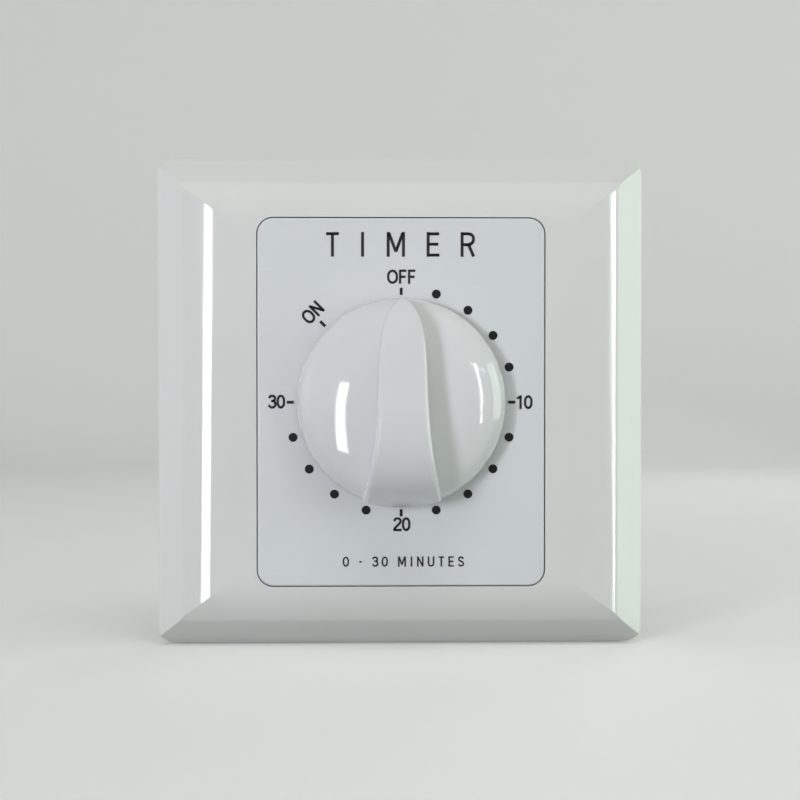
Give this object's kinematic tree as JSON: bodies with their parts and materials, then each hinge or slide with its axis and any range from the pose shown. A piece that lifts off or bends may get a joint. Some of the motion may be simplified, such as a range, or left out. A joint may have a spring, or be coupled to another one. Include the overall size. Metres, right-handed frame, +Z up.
{
  "type": "timer light switch",
  "caption": "Square wall-plate timer switch with a winding knob on a printed dial, clockwork and contacts behind.",
  "frame": {"origin": "on the knob's axis in the wall plane, midway between the two wall screws", "axes": "+Z up the wall, +X to the right as the user sees it, +Y into the wall, the knob faces -Y"},
  "size_m": [0.086, 0.0455, 0.086],
  "materials": {
    "frame_plastic": "injection-moulded ABS, polished tool",
    "panel_plastic": "injection-moulded ABS, polished tool",
    "knob_plastic": "injection-moulded ABS, polished tool",
    "dial_ink": "pad-printed ink",
    "yoke_plastic": "moulded glass-filled plastic",
    "housing_plastic": "moulded flame-retardant plastic",
    "carrier_plastic": "moulded phenolic",
    "cam_plastic": "moulded acetal",
    "plate_steel": "zinc-plated sheet",
    "screw_steel": "nickel-plated",
    "shaft_steel": "turned",
    "spring_steel": "tempered strip",
    "brass": "stamped or turned",
    "contact_bronze": "rolled strip",
    "contact_silver": "silver rivet"
  },
  "bodies": {
    "wall_plate": {"cover_frame": "frame_plastic", "dial_panel": "panel_plastic", "dial_marks": "dial_ink", "mounting_frame": "yoke_plastic", "rear_housing": "housing_plastic", "terminal_carrier": "carrier_plastic", "front_plate": "plate_steel", "rear_plate": "plate_steel", "plate_pillars": "plate_steel", "pillar_nuts": "plate_steel", "yoke_screws": "screw_steel", "carrier_screws": "screw_steel", "housing_screws": "screw_steel", "terminal_screws": "screw_steel", "spring_post": "shaft_steel", "stop_pin": "shaft_steel", "mainspring": "spring_steel", "shaft_bush": "brass", "terminal_blocks": "brass", "moving_contact_blade": "contact_bronze", "fixed_contact_blade": "contact_bronze", "moving_contact": "contact_silver", "fixed_contact": "contact_silver"},
    "knob_rotor": {"knob": "knob_plastic", "knob_clip": "spring_steel", "main_arbor": "shaft_steel", "main_wheel": "brass", "clutch_washer": "spring_steel", "retaining_ring": "plate_steel", "switch_cam": "cam_plastic"},
    "second_gear": {"second_pinion": "shaft_steel", "second_wheel": "brass"},
    "third_gear": {"third_pinion": "shaft_steel", "third_wheel": "brass"},
    "escape_gear": {"escape_pinion": "shaft_steel", "escape_wheel": "brass"},
    "anchor": {"anchor_staff": "shaft_steel", "pallet_anchor": "shaft_steel", "balance_weight": "brass"}
  },
  "joints": [
    {"name": "knob_turn", "type": "hinge", "parent": "wall_plate", "child": "knob_rotor", "pos_m": [0, 0, 0], "axis": [0, 1, 0], "range_deg": [-45, 270], "deforming": ["mainspring", "moving_contact_blade", "moving_contact"]},
    {"name": "second_wheel_turn", "type": "hinge", "parent": "wall_plate", "child": "second_gear", "pos_m": [-0.01247, 0, 0.0072], "axis": [0, 1, 0], "range_deg": [-1350, 225]},
    {"name": "third_wheel_turn", "type": "hinge", "parent": "wall_plate", "child": "third_gear", "pos_m": [-0.00443, 0, 0.01395], "axis": [0, 1, 0], "range_deg": [-900, 5400]},
    {"name": "escape_wheel_turn", "type": "hinge", "parent": "wall_plate", "child": "escape_gear", "pos_m": [0.00488, 0, 0.01559], "axis": [0, 1, 0], "range_deg": [-18900, 3150]},
    {"name": "anchor_swing", "type": "hinge", "parent": "wall_plate", "child": "anchor", "pos_m": [0.01287, 0, 0.01268], "axis": [0, 1, 0], "range_deg": [-5, 5]}
  ],
  "couplings": [
    {"joint": "second_wheel_turn", "follows": "knob_turn", "ratio": -5},
    {"joint": "third_wheel_turn", "follows": "knob_turn", "ratio": 20},
    {"joint": "escape_wheel_turn", "follows": "knob_turn", "ratio": -70}
  ]
}
